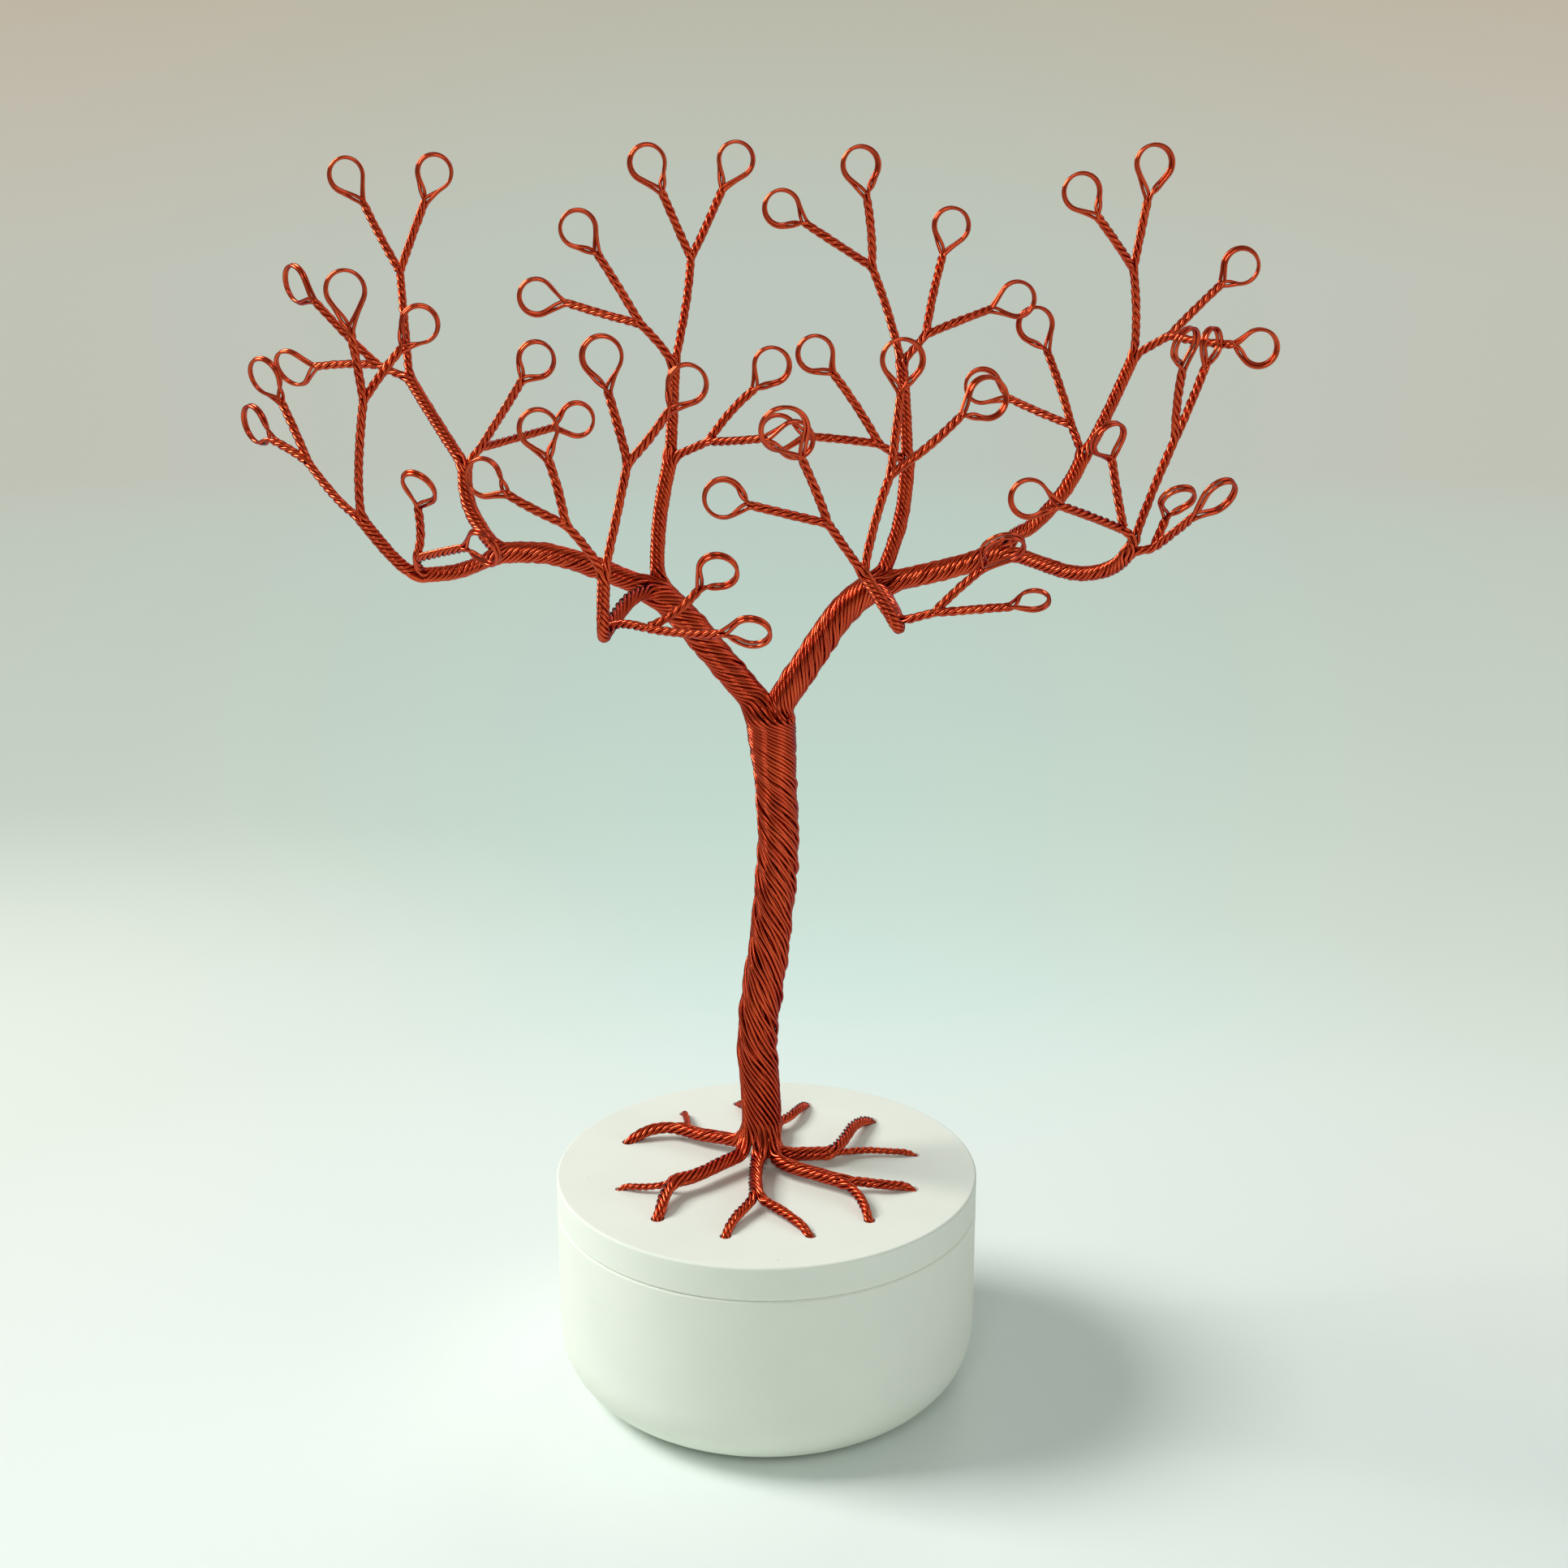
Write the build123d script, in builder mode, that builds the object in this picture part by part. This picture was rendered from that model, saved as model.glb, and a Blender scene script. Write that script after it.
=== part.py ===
from build123d import *
from math import asin, cos, degrees, radians, sin, sqrt, tan
import os

# Jewelry stand: a tree of twisted copper wire set in the lid of a round cast box. Millimetres, +Z up,
# origin at the middle of the box's foot. The viewer stands at -Y.

# Wire
wire_d = 0.8              # one enamelled copper wire
wire_fill = 0.68          # share of a bundle's round section that its wires fill
knuckle = 1.06            # swelling of a bundle where it forks, times its radius
neck_knuckle = 1.2        # swelling at the neck of a loop, times the twig's radius
knot_turn = (37, 61, 0)   # keeps the poles of a knot's ball clear of the bundles that meet in it
bend_share = 0.45         # part of a run that the arc at its end may use
tree_scale = 1.0          # millimetres for each unit of the routes below

# Wires in each bundle
twig_wires = 4            # two through wires and their two tails, turned back down the twig
sprig_wires = 4
branch_wires = 12
branch_end_wires = 8      # above the lowest sprig
limb_end_wires = 24
limb_wires = 48
trunk_wires = 96
root_wires = 12
fork_wires = 6            # a sprig's fork, with the ends of the tails wound round it

# Box
box_r = 50.0
box_h = 45.0
box_wall = 7.0
box_floor = 7.0
foot_fillet = 15.0
cavity_fillet = 10.0
rim_fillet = 0.6

# Lid
lid_t = 8.0
ring_depth = 5.0
ring_wall = 4.0
ring_clearance = 0.4      # between the locating ring and the cavity
lid_top = box_h + lid_t

# Root tips and the pits they are set in
pit_circle_r = 36.5
pit_depth = 4.0
pit_clearance = 0.15      # all round a root tip
root_rise = 0.4           # height of a root's underside above the lid, just before its pit
root_bend = 1.15          # radius of a tip's last bend, times the tip's radius

CENTRED_UP = (Align.CENTER, Align.CENTER, Align.MIN)


def bundle_radius(wires):
    """Radius of the round bundle that this many wires make."""
    return 0.5 * wire_d * sqrt(wires / wire_fill)


def tree_point(place):
    """A point of a route: right of, behind and above the middle of the lid's top face."""
    x, y, z = place
    return Vector(x * tree_scale, y * tree_scale, lid_top + z * tree_scale)


def bend_radii(points):
    """The largest arc for each corner that its two runs have room for."""
    radii = []
    for before, corner, after in zip(points, points[1:], points[2:]):
        run_in = corner - before
        run_out = after - corner
        half_turn = radians(run_in.get_angle(run_out)) / 2
        radii.append(bend_share * min(run_in.length, run_out.length) / tan(half_turn))
    return radii


def follow(path, draw_section, x_dir=None):
    """Carry a section along straight runs and tangent arcs, square to the path."""
    for run in path.edges():
        square_on = Plane(run @ 0, x_dir=x_dir, z_dir=run % 0)
        with BuildSketch(square_on) as section:
            draw_section()
        if run.geom_type == GeomType.LINE:
            extrude(section.sketch, amount=run.length)
        else:
            pivot = Axis(run.arc_center, (run @ 0 - run.arc_center).cross(run % 0))
            revolve(section.sketch, axis=pivot, revolution_arc=degrees(run.length / run.radius))


def lay_bundle(points, wires, last_bend=None):
    """One bundle, as a round tube along straight runs joined by tangent arcs."""
    radii = bend_radii(points)
    if last_bend:
        radii[-1] = last_bend
    with BuildLine() as path:
        if radii:
            FilletPolyline(*points, radius=radii)
        else:
            Line(*points)
    follow(path.line, lambda: Circle(bundle_radius(wires)))


def knot(point, radius):
    """The round swelling where a bundle forks."""
    with Locations(point):
        Sphere(radius, rotation=knot_turn)


def finish(piece, label, grows_from):
    """Cut a piece back to the pieces it grows from, then name it and write it."""
    with piece:
        for parent in grows_from:
            add(parent, mode=Mode.SUBTRACT)
    piece.part.label = label
    export_step(piece.part, f"parts/{label}.step")
    return piece.part


os.makedirs("parts", exist_ok=True)


# Box: a cast shell with a rounded foot, open at the top.
with BuildPart() as box:
    Cylinder(box_r, box_h, align=CENTRED_UP)
    fillet(box.faces().sort_by(Axis.Z)[0].edges(), radius=foot_fillet)
    with BuildSketch(Plane.XY.offset(box_h)):
        Circle(box_r - box_wall)
    extrude(amount=box_floor - box_h, mode=Mode.SUBTRACT)
    cavity_floor = box.faces().filter_by(Plane.XY).sort_by(Axis.Z)[1]
    fillet(cavity_floor.edges(), radius=cavity_fillet)
    fillet(box.faces().sort_by(Axis.Z)[-1].edges(), radius=rim_fillet)
box.part.label = "box"
export_step(box.part, "parts/box.step")


# Roots: each leaves the trunk low down and forks into two tips. A point is right of and behind the
# middle of the lid, and the height of the bundle's underside above it. A tip ends in the pit that
# lies at its angle on the pit circle.
root_start = (-1.2, 3, 2)
roots = {
    "root_left": {
        "main": [root_start, (-11, 8.5, 1.6), (-17, 11, 1.3), (-20, 13.5, 1.3)],
        "tips": [
            {"wires": 9, "route": [(-25, 15.5, 1.4), (-29, 15, 0.9)], "angle": 159},
            {"wires": 3, "route": [(-19.7, 18, 1.6), (-20.5, 24.5, 0.8)], "angle": 126},
        ],
    },
    "root_front_left": {
        "main": [root_start, (-10, -5.5, 1.8), (-17, -13, 1.6), (-21, -15, 1.8)],
        "tips": [
            {"wires": 9, "route": [(-22.7, -18.4, 1.4), (-23.5, -22.5, 0.8)], "angle": 228},
            {"wires": 3, "route": [(-24.5, -14.2, 0.8), (-30, -14.2, 0.5)], "angle": 200},
        ],
    },
    "root_front": {
        "main": [root_start, (-2.6, -8, 1.5), (-2.5, -16, 1.3), (-2.2, -21.3, 1.3)],
        "tips": [
            {"wires": 6, "route": [(-4.3, -25, 0.9), (-7, -30, 0.5)], "angle": 256},
            {"wires": 6, "route": [(0.3, -23.5, 0.9), (4.5, -27.7, 0.5)], "angle": 286},
        ],
    },
    "root_front_right": {
        "main": [root_start, (4, -6.5, 1.6), (10.6, -10, 1.3), (17.3, -14.3, 1.3)],
        "tips": [
            {"wires": 6, "route": [(20, -17.4, 1.3), (22, -22.3, 0.8)], "angle": 310},
            {"wires": 6, "route": [(22, -13.4, 1.2), (28, -14.3, 0.7)], "angle": 340},
        ],
    },
    "root_right": {
        "main": [root_start, (5, -0.6, 1.5), (10.5, 0.2, 1.3), (15, 0.3, 1.3)],
        "tips": [
            {"wires": 9, "route": [(17.7, 5.4, 1.5), (19.7, 11.4, 1.5), (21.6, 17.4, 1.4)], "angle": 44},
            {"wires": 3, "route": [(18.7, 4.2, 0.8), (24.6, 5.7, 0.5), (30.2, 5.0, 0.45)], "angle": 9},
        ],
    },
    "root_back": {
        "main": [root_start, (0.6, 9.5, 1.6), (2.2, 14, 1.3), (2, 18, 1.3)],
        "tips": [
            {"wires": 6, "route": [(5, 21.5, 1.3), (7.4, 27, 1.0)], "angle": 74},
            {"wires": 6, "route": [(-1.2, 22, 1.2), (-4.7, 28.5, 0.8)], "angle": 102},
        ],
    },
}


def root_point(place, wires):
    """A point of a root's route, lifted by the bundle's own radius."""
    x, y, rise = place
    return Vector(x * tree_scale, y * tree_scale, lid_top + rise + bundle_radius(wires))


def pit_place(tip):
    """Where a tip's pit lies on the lid."""
    turn = radians(tip["angle"])
    return pit_circle_r * cos(turn), pit_circle_r * sin(turn)


# Lid: a cast disc that rests on the rim, with a locating ring below and a pit for each root tip.
ring_r = box_r - box_wall - ring_clearance
with BuildPart() as lid:
    with BuildSketch(Plane.XY.offset(box_h)):
        Circle(box_r)
    extrude(amount=lid_t)
    fillet(lid.edges(), radius=rim_fillet)
    with BuildSketch(Plane.XY.offset(box_h)):
        Circle(ring_r)
        Circle(ring_r - ring_wall, mode=Mode.SUBTRACT)
    extrude(amount=-ring_depth)
    for root in roots.values():
        for tip in root["tips"]:
            with BuildSketch(Plane.XY.offset(lid_top)):
                with Locations(pit_place(tip)):
                    Circle(bundle_radius(tip["wires"]) + pit_clearance)
            extrude(amount=-pit_depth, mode=Mode.SUBTRACT)
lid.part.label = "lid"
export_step(lid.part, "parts/lid.step")


# Trunk: all the wires, stood on the lid between the roots.
trunk_route = [
    (-1.2, 3, 0), (-1.2, 3, 16), (-2.5, 3, 32), (-0.5, 2, 46), (1.5, 2, 62), (3, 1, 78), (3, 0, 90),
    (1.5, 0, 110),
]
with BuildPart() as trunk_bundle:
    trunk_points = [tree_point(place) for place in trunk_route]
    lay_bundle(trunk_points, trunk_wires)
    knot(trunk_points[-1], bundle_radius(trunk_wires) * knuckle)
trunk = finish(trunk_bundle, "trunk", [])

earlier_roots = []
for label, root in roots.items():
    with BuildPart() as root_bundle:
        main = [root_point(place, root_wires) for place in root["main"]]
        lay_bundle(main, root_wires)
        knot(main[-1], bundle_radius(root_wires) * knuckle)
        for tip in root["tips"]:
            radius = bundle_radius(tip["wires"])
            pit_x, pit_y = pit_place(tip)
            over_pit = Vector(pit_x, pit_y, lid_top + root_rise + radius)
            pit_bottom = Vector(pit_x, pit_y, lid_top - pit_depth)
            route = [root_point(place, tip["wires"]) for place in tip["route"]]
            lay_bundle([main[-1], *route, over_pit, pit_bottom], tip["wires"], root_bend * radius)
    earlier_roots.append(finish(root_bundle, label, [trunk, *earlier_roots]))


# Limbs: the trunk parts into two, and each half sends half of its wires on to the outer branches.
def make_limb(label, route, wires, grows_from):
    points = [tree_point(place) for place in route]
    with BuildPart() as limb:
        lay_bundle(points, wires)
        knot(points[-1], bundle_radius(wires) * knuckle)
    return finish(limb, label, grows_from)


crotch = (1.5, 0, 110)
left_parting = (-24, 0, 138.5)
right_parting = (24.5, 0, 140)
left_end = (-58, 0, 147)
right_end = (53, 0, 147.5)
limb_left = make_limb(
    "limb_left",
    [crotch, (-4.5, 0, 116.5), (-13.5, 0, 127.5), (-19, 0, 134), left_parting],
    limb_wires, [trunk],
)
limb_right = make_limb(
    "limb_right",
    [crotch, (4.5, 0, 115), (12.5, 0, 127.5), (18, 0, 135.5), right_parting],
    limb_wires, [trunk, limb_left],
)
limb_left_upper = make_limb(
    "limb_left_upper",
    [left_parting, (-34, 0, 142.5), (-42, 0, 145.5), (-50, 0, 147.5), left_end],
    limb_end_wires, [limb_left],
)
limb_right_upper = make_limb(
    "limb_right_upper",
    [right_parting, (36, 0, 142.5), (44, 0, 144.5), right_end],
    limb_end_wires, [limb_right],
)


# Branches: twelve wires each. A sprig leaves at the low fork, and two more at the end.
boughs = [trunk, limb_left, limb_right, limb_left_upper, limb_right_upper]


def make_branch(label, low_part, high_part):
    """One branch, cut back to the limbs and to the branches before it."""
    low_points = [tree_point(place) for place in low_part]
    high_points = [tree_point(place) for place in high_part]
    with BuildPart() as branch:
        lay_bundle(low_points, branch_wires)
        knot(low_points[-1], bundle_radius(branch_wires) * knuckle)
        lay_bundle(high_points, branch_end_wires)
        knot(high_points[-1], bundle_radius(branch_end_wires) * knuckle)
    boughs.append(finish(branch, label, boughs))
    return boughs[-1]


# Sprigs: a stem forks into two twigs, and each twig ends in a loop of doubled wire. A loop is given by
# the way it points, in degrees clockwise from straight up and then leant back, by its turn about that
# way, by its radius, and by its shoulder: how far its round starts from the end of the twig.
def loop_plane(neck, aim, lean, turn):
    """The plane a loop lies in, with X from its neck to its middle."""
    aim, lean = radians(aim), radians(lean)
    way = Vector(sin(aim) * cos(lean), sin(lean), cos(aim) * cos(lean))
    to_viewer = Vector(0, -1, 0)
    normal = to_viewer - way * to_viewer.dot(way)
    return Plane(neck, x_dir=way, z_dir=normal.rotate(Axis((0, 0, 0), way), -turn))


def lay_loop(neck, aim, lean, turn, radius, shoulder):
    """Two wires side by side, out along one leg, round and back along the other."""
    plane = loop_plane(neck, aim, lean, turn)
    reach = radius + shoulder
    half_angle = asin(radius / reach)
    leg = sqrt(reach ** 2 - radius ** 2)
    parting = wire_d / 2 / sin(half_angle)
    leg_x, leg_y = leg * cos(half_angle), leg * sin(half_angle)
    parting_x, parting_y = parting * cos(half_angle), parting * sin(half_angle)
    with BuildLine(plane) as path:
        Line((parting_x, parting_y), (leg_x, leg_y))
        ThreePointArc((leg_x, leg_y), (reach + radius, 0), (leg_x, -leg_y))
        Line((leg_x, -leg_y), (parting_x, -parting_y))
    follow(path.line, lambda: SlotOverall(2 * wire_d, wire_d), x_dir=plane.z_dir)


def make_sprig(label, stem, twigs, grows_from):
    stem_points = [tree_point(place) for place in stem]
    with BuildPart() as sprig:
        lay_bundle(stem_points, sprig_wires)
        knot(stem_points[-1], bundle_radius(fork_wires) * knuckle)
        for route, loop in twigs:
            points = [stem_points[-1]] + [tree_point(place) for place in route]
            lay_bundle(points, twig_wires)
            knot(points[-1], bundle_radius(twig_wires) * neck_knuckle)
            lay_loop(points[-1], *loop)
    return finish(sprig, label, grows_from)


def make_sprigs(first, branch, sprigs):
    """The sprigs of one branch, numbered from first, each cut back to the ones before it."""
    grown = [branch]
    for number, (stem, *twigs) in enumerate(sprigs, first):
        grown.append(make_sprig(f"sprig_{number:02d}", stem, twigs, grown))


# Left outer branches
low_fork = (-74.5, -9, 143.5)
end = (-86, -12, 156)
branch = make_branch(
    "branch_left_outer_low",
    [left_end, (-63, -4, 145), (-68, -7, 143.5), low_fork],
    [low_fork, (-79, -11, 146), end],
)
make_sprigs(1, branch, [
    (
        [end, (-90, -9, 158), (-95, -5, 162.5), (-99, -2, 167)],
        ([(-103, 0, 169.5), (-107.5, 2, 171.5)], (-55, 32, 34, 4.2, 2.1)),
        ([(-102, 2, 172.5), (-106, 6, 179.5)], (-31, 0, 34, 4.1, 2.1)),
    ),
    (
        [end, (-86, -14, 167.5), (-83.5, -15, 181)],
        ([(-84.5, -15, 189), (-85.5, -15, 195.5)], (-4, 0, 0, 4, 3.8)),
        ([(-80, -12, 186.5), (-76, -10, 191.5)], (40, 0, 0, 3.8, 2.5)),
    ),
    (
        [low_fork, (-74, -15, 148)],
        ([(-72.5, -15, 153), (-73.5, -14, 159)], (16, -42, 14, 3.9, 2.1)),
        ([(-68, -21, 150), (-61.5, -28, 152)], (83, -42, -22, 3.9, 2.1)),
    ),
])

low_fork = (-67, 10, 165)
end = (-80, 18, 184)
branch = make_branch(
    "branch_left_outer_high",
    [left_end, (-62, 4, 150), (-67, 8, 157.5), low_fork],
    [low_fork, (-73.5, 14, 174), end],
)
make_sprigs(4, branch, [
    (
        [end, (-84, 20, 185), (-87.5, 22, 186.5)],
        ([(-94, 22, 192.5), (-101.5, 22, 201)], (-53, 32, 34, 4.2, 2.2)),
        ([(-95, 24, 187), (-103, 26, 186)], (-94, 28, 24, 4.3, 2.3)),
    ),
    (
        [end, (-81, 22, 192), (-83, 29, 207)],
        ([(-87.5, 31, 214.5), (-91.5, 33, 222.5)], (-31, 0, 0, 3.8, 2.8)),
        ([(-80, 29, 214.5), (-76.5, 29, 222.5)], (21, 0, 0, 3.8, 2.7)),
    ),
    (
        [low_fork, (-63.5, 11, 169)],
        ([(-56.5, 6, 178.5), (-52.5, 3, 184.5)], (37, 0, 0, 3.8, 1.3)),
        ([(-56, 22, 170.5), (-49.5, 31, 172)], (72, 0, 0, 3.8, 2.1)),
    ),
])

# Left inner branches
low_fork = (-21, 8, 167)
end = (-20, 10, 187)
branch = make_branch(
    "branch_left_inner_high",
    [left_parting, (-24, 4, 148), (-23, 6, 158), low_fork],
    [low_fork, (-20.5, 10, 178), end],
)
make_sprigs(7, branch, [
    (
        [end, (-23, 8, 192), (-27, 6, 196)],
        ([(-31, 5, 203), (-36, 4, 211)], (-38, 0, 0, 3.8, 2.4)),
        ([(-35.5, 9, 198), (-44, 12, 200.5)], (-79, 0, 0, 3.8, 2.4)),
    ),
    (
        [end, (-17, 16, 201), (-16.5, 19, 210)],
        ([(-20, 16, 218), (-22.5, 14, 224)], (-27, 0, 0, 3.8, 2.7)),
        ([(-13, 23, 217), (-9.5, 26, 225)], (26, 0, 0, 3.8, 3)),
    ),
    (
        [low_fork, (-12.5, 3, 171)],
        ([(-7.5, 3, 178), (-2, 3, 182.5)], (36, 0, 0, 3.8, 2.2)),
        ([(-6.5, -2, 171.5), (0.5, -6, 172.5)], (92, 0, 0, 3.8, 2.3)),
    ),
])

low_fork = (-33, -26, 134.5)
end = (-32.5, -34, 147)
branch = make_branch(
    "branch_left_inner_low",
    [left_parting, (-28, -9, 139.5), (-31, -17, 137), low_fork],
    [low_fork, (-33, -33, 137.5), end],
)
make_sprigs(10, branch, [
    (
        [end, (-35, -36, 152.5), (-39.5, -38, 158)],
        ([(-46.5, -37, 161), (-51.5, -36, 164)], (-57, 16, 14, 3.8, 2)),
        ([(-41, -37, 166), (-43, -36, 171)], (-16, 0, 0, 3.8, 2.2)),
    ),
    (
        [end, (-30, -32, 158), (-27.5, -30, 169.5)],
        ([(-29, -30, 176), (-31.5, -28, 184)], (-8, 0, 0, 4, 2.6)),
        ([(-23, -32, 174), (-18.5, -34, 180.5)], (35, 0, 0, 3.8, 2.2)),
    ),
    (
        [low_fork, (-29.5, -30, 137), (-24, -35, 136.5)],
        ([(-17, -34, 139.5), (-13, -33, 144.5)], (45, -24, -16, 3.9, 2)),
        ([(-16, -40, 136), (-8, -44, 137)], (84, -12, -36, 3.8, 2)),
    ),
])

# Right inner branches
low_fork = (27.5, -28, 136.5)
end = (20.5, -31, 147)
branch = make_branch(
    "branch_right_inner_low",
    [right_parting, (27, -10, 139), (28.5, -20, 137.5), low_fork],
    [low_fork, (24, -31, 141), end],
)
make_sprigs(13, branch, [
    (
        [end, (22.5, -29, 158), (26, -27, 167)],
        ([(27, -25, 175), (28, -24, 183.5)], (2, 0, 0, 4.1, 2.1)),
        ([(34, -24, 172), (41, -20, 178.5)], (58, 16, -6, 4.2, 2.2)),
    ),
    (
        [end, (13, -36, 158)],
        ([(10.5, -37, 165), (7.5, -38, 171.5)], (-31, -22, 2, 4.6, 2.4)),
        ([(4.5, -37, 160), (-3, -38, 162)], (-76, 0, 0, 3.8, 1.3)),
    ),
    (
        [low_fork, (35, -31, 139)],
        ([(40, -30, 144), (45.5, -28, 148)], (38, -34, -34, 4.3, 2.3)),
        ([(43, -33, 140), (50.5, -35.5, 141)], (75, 14, 62, 3.2, 1.6)),
    ),
])

low_fork = (31.5, 8, 166)
end = (30, 10, 187.5)
branch = make_branch(
    "branch_right_inner_high",
    [right_parting, (27, 2, 144.5), (31, 6, 155.5), low_fork],
    [low_fork, (31, 9, 178), end],
)
make_sprigs(16, branch, [
    (
        [end, (27.5, 14, 198), (23.5, 15, 208)],
        ([(15.5, 16, 213), (8.5, 18, 217.5)], (-58, 0, 0, 3.8, 1.9)),
        ([(23.5, 14, 215), (22, 12, 223)], (-12, 0, 0, 3.8, 2.6)),
    ),
    (
        [end, (35.5, 14, 193.5)],
        ([(37, 16, 202.5), (39.5, 20, 211)], (16, 0, 0, 3.8, 2.3)),
        ([(43, 16, 196.5), (50.5, 20, 199)], (70, 0, 0, 3.8, 2.3)),
    ),
    (
        [low_fork, (25, 4, 170.5)],
        ([(16, 5, 171.5), (9, 6, 172)], (-83, 0, 0, 3.8, 2.3)),
        ([(20, 4, 179), (14.5, 4, 186)], (-43, 0, 0, 3.8, 1.4)),
    ),
])

# Right outer branches
low_fork = (71, 12, 167)
end = (82, 15, 189)
branch = make_branch(
    "branch_right_outer_high",
    [right_end, (55, 4, 150.5), (60, 7, 152), (68, 10, 160.5), low_fork],
    [low_fork, (75, 13, 173), end],
)
make_sprigs(19, branch, [
    (
        [end, (82, 13, 199), (80.5, 12, 207.5)],
        ([(76, 8, 213), (71, 5, 218.5)], (-35, 0, 0, 3.8, 2.2)),
        ([(81.5, 12, 214), (83, 12, 222.5)], (8, 0, 0, 3.8, 3.4)),
    ),
    (
        [end, (88.5, 9, 193.5)],
        ([(94, 11, 199), (100.5, 14, 204.5)], (47, 0, 0, 3.8, 1.6)),
        ([(94, 2, 192), (100, -4, 192)], (97, 0, 0, 3.8, 1.4)),
    ),
    (
        [low_fork, (69, 18, 173.5)],
        ([(62, 22, 176), (55.5, 27, 179)], (-66, 0, 0, 3.8, 2.7)),
        ([(67, 20, 181), (63.5, 23, 190)], (-26, 0, 0, 3.8, 2.3)),
    ),
])

low_fork = (77, -17, 149.5)
end = (78, -18, 152.5)
branch = make_branch(
    "branch_right_outer_low",
    [right_end, (60, -5, 145.5), (67.5, -10, 143.5), (75, -14, 145.5), low_fork],
    [low_fork, end],
)
make_sprigs(22, branch, [
    (
        [end, (82, -15, 163), (86.5, -13, 173)],
        ([(85.5, -17, 180.5), (86, -20, 188)], (-4, -30, -40, 3.5, 1.9)),
        ([(90.5, -9, 180.5), (93.5, -6, 187.5)], (14, 10, -46, 3.2, 1.8)),
    ),
    (
        [end, (75.5, -19, 154.5)],
        ([(74, -17, 162), (73, -15, 169)], (-19, -38, -18, 3.8, 2)),
        ([(68, -25, 158), (60, -30, 161)], (-77, 0, 0, 3.8, 2.3)),
    ),
    (
        [low_fork, (82, -18, 150.5)],
        ([(83.5, -17, 154), (85, -16, 157)], (19, -40, -24, 3.6, 1.9)),
        ([(86, -23, 155), (88.5, -27, 158.5)], (50, 0, -44, 4, 2.1)),
    ),
])
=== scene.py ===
import bmesh
import bpy
import math
import random
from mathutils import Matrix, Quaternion, Vector


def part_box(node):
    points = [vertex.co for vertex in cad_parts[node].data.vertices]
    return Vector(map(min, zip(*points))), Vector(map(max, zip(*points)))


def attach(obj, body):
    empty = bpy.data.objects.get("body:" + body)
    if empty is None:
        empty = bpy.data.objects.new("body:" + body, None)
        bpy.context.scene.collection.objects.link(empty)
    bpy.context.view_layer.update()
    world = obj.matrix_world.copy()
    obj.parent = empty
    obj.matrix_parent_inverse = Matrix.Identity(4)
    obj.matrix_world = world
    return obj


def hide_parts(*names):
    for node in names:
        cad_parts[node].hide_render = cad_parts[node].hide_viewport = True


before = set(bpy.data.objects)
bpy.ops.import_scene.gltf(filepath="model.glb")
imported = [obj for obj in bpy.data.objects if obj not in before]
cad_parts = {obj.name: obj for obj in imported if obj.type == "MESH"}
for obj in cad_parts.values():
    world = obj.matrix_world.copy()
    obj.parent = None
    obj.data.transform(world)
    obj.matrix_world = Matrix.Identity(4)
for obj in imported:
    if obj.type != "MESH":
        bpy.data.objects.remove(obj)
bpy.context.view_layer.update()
mm = 0.001


# Viewpoint: the eye stands a little right of the trunk and above the crown, about 0.43 m in front,
# and looks 14.7 degrees down. The lens is given by the picture's width and its distance, in pixels.
picture_px = 1932
lens_px = 2400
look_down = math.radians(14.7)
camera_data = bpy.data.cameras.new("viewpoint")
camera_data.sensor_width = 36
camera_data.lens = camera_data.sensor_width * lens_px / picture_px
camera_data.clip_start = 10 * mm
camera = bpy.data.objects.new("viewpoint", camera_data)
camera.location = Vector((4.15, -428.0, 259.7)) * mm
camera.rotation_euler = (math.pi / 2 - look_down, 0, 0)
bpy.context.scene.collection.objects.link(camera)
bpy.context.scene.camera = camera
bpy.context.scene.view_settings.view_transform = "Standard"


# Studio: a pale painted board that fades into a pale wall, under one large soft box at the left and
# three faint ones in front, at the right and behind. What the eye and the wire's gloss see far off has
# its own colours and lights nothing, and the gloss meets a dimmer room behind the viewer.
def linear(hex_colour):
    """An sRGB hex colour as linear RGBA."""
    channels = [int(hex_colour[i:i + 2], 16) / 255 for i in (1, 3, 5)]
    return tuple(c / 12.92 if c <= 0.04045 else ((c + 0.055) / 1.055) ** 2.4 for c in channels) + (1,)


def add_node(tree, kind, settings=None, inputs=None, links=None):
    """One shader node, with its settings, its input values, and the sockets that feed it."""
    node = tree.nodes.new(kind)
    for name, value in (settings or {}).items():
        setattr(node, name, value)
    for name, value in (inputs or {}).items():
        node.inputs[name].default_value = value
    for name, socket in (links or {}).items():
        tree.links.new(socket, node.inputs[name])
    return node


def new_material(name):
    """An empty material and its node tree."""
    material = bpy.data.materials.new(name)
    material.use_nodes = True
    material.node_tree.nodes.clear()
    return material, material.node_tree


def ramp(tree, factor, stops):
    """A colour ramp through (position, hex colour) stops."""
    node = add_node(tree, "ShaderNodeValToRGB", links={"Fac": factor})
    elements = node.color_ramp.elements
    while len(elements) < len(stops):
        elements.new(0.5)
    for element, (position, hex_colour) in zip(elements, stops):
        element.position = position
        element.color = linear(hex_colour)
    return node.outputs["Color"]


def combine(tree, operation, first, second):
    """One value made from two by an operation."""
    node = add_node(tree, "ShaderNodeMath", {"operation": operation}, links={0: first, 1: second})
    return node.outputs[0]


def seen_directly(tree):
    """One where the eye, or gloss or glass in its view, meets a surface, and zero elsewhere."""
    rays = add_node(tree, "ShaderNodeLightPath").outputs
    by_eye_or_gloss = combine(tree, "MAXIMUM", rays["Is Camera Ray"], rays["Is Glossy Ray"])
    return combine(tree, "MAXIMUM", by_eye_or_gloss, rays["Is Transmission Ray"])


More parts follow.
